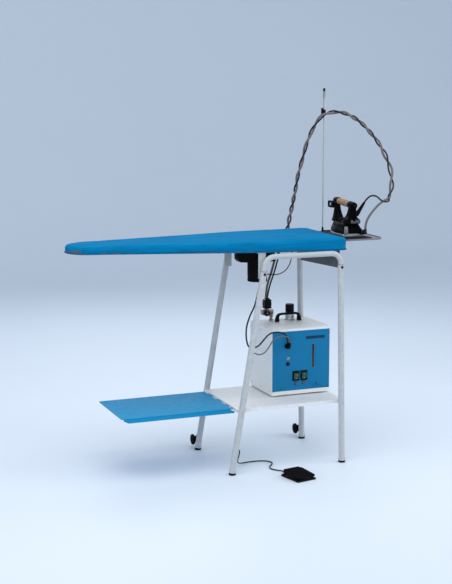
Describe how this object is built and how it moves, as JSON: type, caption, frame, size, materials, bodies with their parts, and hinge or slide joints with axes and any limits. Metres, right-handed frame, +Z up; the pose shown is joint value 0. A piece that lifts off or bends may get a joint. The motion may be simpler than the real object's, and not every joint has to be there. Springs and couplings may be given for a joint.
{
  "type": "ironing station with steam boiler and iron",
  "caption": "Padded suction ironing board on a tubular stand with shelf, steam boiler, professional iron on a rest, hose pole, linen tray, fan and foot pedal.",
  "frame": {"origin": "floor under the middle of the bounding box, cords left out", "axes": "+Z up, +X towards the flat end of the board and the iron, +Y towards the rear wheels"},
  "size_m": [1.4066, 0.6684, 1.523],
  "materials": {
    "stand_paint": "satin powder coat, light grey",
    "cabinet_paint": "fine textured light grey",
    "panel_blue": "satin blue",
    "dark_steel": "satin black",
    "zinc": "zinc plated",
    "chamber_grey": "dark grey",
    "tray_blue": "satin light blue",
    "cover_cotton": "woven cotton, blue",
    "felt": "felt",
    "black_plastic": "matt",
    "black_rubber": "matt",
    "silicone": "matt",
    "rest_grey": "satin grey",
    "sole_alu": "machined",
    "bakelite": "moulded, semi gloss",
    "cork": "cork",
    "brass_metal": "plain",
    "stainless": "brushed",
    "green_rocker": "translucent green",
    "orange_lens": "translucent",
    "gauge_glass": "dark window",
    "hose_braid": "textile covered",
    "cable_black": "matt",
    "cable_grey": "matt",
    "white_plastic": "matt",
    "red_plastic": "matt"
  },
  "bodies": {
    "station": {"board_cable": "cable_black", "board_chamber": "chamber_grey", "board_cover": "cover_cotton", "board_pad": "felt", "board_supports": "stand_paint", "boiler_cabinet": "cabinet_paint", "boiler_front_panel": "panel_blue", "boiler_tank": "stainless", "cable_boot": "black_rubber", "cable_gland": "black_plastic", "carry_handle": "black_plastic", "fan_cable": "cable_black", "fan_duct": "dark_steel", "fan_housing": "dark_steel", "filler_neck": "zinc", "frame_bolts": "zinc", "front_hoop": "stand_paint", "front_left_leg": "stand_paint", "front_right_leg": "stand_paint", "hose_pole": "zinc", "indicator_lamps": "orange_lens", "iron_body": "bakelite", "iron_cable": "cable_black", "iron_cork_grip": "cork", "iron_handle_frame": "bakelite", "iron_soleplate": "sole_alu", "leg_trim": "black_plastic", "level_window": "gauge_glass", "mains_inlet": "black_plastic", "panel_trim": "zinc", "pedal_base": "black_plastic", "pedal_cable_lower": "cable_black", "pedal_cable_upper": "cable_grey", "pedal_spring": "zinc", "pole_fittings": "black_plastic", "pole_tip": "white_plastic", "rear_hoop": "stand_paint", "rear_left_leg": "stand_paint", "rear_right_leg": "stand_paint", "rest_mat": "silicone", "rest_plate": "rest_grey", "shelf": "stand_paint", "solenoid_coil": "black_plastic", "steam_hose": "hose_braid", "switch_frames": "black_plastic", "tray_hinge": "zinc", "valve_body": "brass_metal", "wheel_brackets": "dark_steel"},
    "fan_rotor": {"fan_impeller": "dark_steel"},
    "linen_tray": {"linen_tray": "tray_blue", "tray_rails": "tray_blue"},
    "wheel_left": {"wheel_left": "black_rubber"},
    "wheel_right": {"wheel_right": "black_rubber"},
    "filler_cap": {"filler_cap": "black_plastic"},
    "steam_knob": {"steam_knob": "black_plastic"},
    "rocker_left": {"rocker_left": "green_rocker"},
    "rocker_right": {"rocker_right": "green_rocker"},
    "reset_button": {"reset_button": "red_plastic"},
    "steam_button": {"steam_button": "white_plastic"},
    "pedal_treadle": {"pedal_treadle": "black_plastic"}
  },
  "joints": [
    {"name": "linen_tray_fold", "type": "hinge", "parent": "station", "child": "linen_tray", "pos_m": [-0.0185, 0.0577, 0.256], "axis": [0, 1, 0], "range_deg": [0, 88]},
    {"name": "fan_spin", "type": "hinge", "parent": "station", "child": "fan_rotor", "pos_m": [0.1505, 0.0577, 0.8], "axis": [0, 0, 1], "continuous": true},
    {"name": "wheel_left_roll", "type": "hinge", "parent": "station", "child": "wheel_left", "pos_m": [-0.03957, 0.3117, 0.029], "axis": [1, 0, 0], "continuous": true},
    {"name": "wheel_right_roll", "type": "hinge", "parent": "station", "child": "wheel_right", "pos_m": [0.44442, 0.3117, 0.029], "axis": [1, 0, 0], "continuous": true},
    {"name": "filler_cap_turn", "type": "hinge", "parent": "station", "child": "filler_cap", "pos_m": [0.3655, 0.2067, 0.59], "axis": [0, 0, 1], "range_deg": [0, 350]},
    {"name": "steam_knob_turn", "type": "hinge", "parent": "station", "child": "steam_knob", "pos_m": [0.2485, 0.1867, 0.584], "axis": [0, -1, 0], "range_deg": [0, 300]},
    {"name": "rocker_left_tilt", "type": "hinge", "parent": "station", "child": "rocker_left", "pos_m": [0.3055, 0.0117, 0.345], "axis": [1, 0, 0], "range_deg": [-14, 0]},
    {"name": "rocker_right_tilt", "type": "hinge", "parent": "station", "child": "rocker_right", "pos_m": [0.3415, 0.0117, 0.345], "axis": [1, 0, 0], "range_deg": [-14, 0]},
    {"name": "reset_press", "type": "slide", "parent": "station", "child": "reset_button", "axis": [0, 1, 0], "range_m": [0, 0.0025], "stiffness_N_per_m": 300, "springref_m": -0.001},
    {"name": "steam_button_press", "type": "slide", "parent": "station", "child": "steam_button", "axis": [0, -1, 0], "range_m": [0, 0.004], "stiffness_N_per_m": 300, "springref_m": -0.001},
    {"name": "pedal_press", "type": "hinge", "parent": "station", "child": "pedal_treadle", "pos_m": [0.18214, -0.22628, 0.015], "axis": [0.9781, 0.2079, 0], "range_deg": [0, 3], "stiffness_Nm_per_rad": 8, "springref_deg": -2.86, "deforming": ["pedal_spring"]}
  ]
}
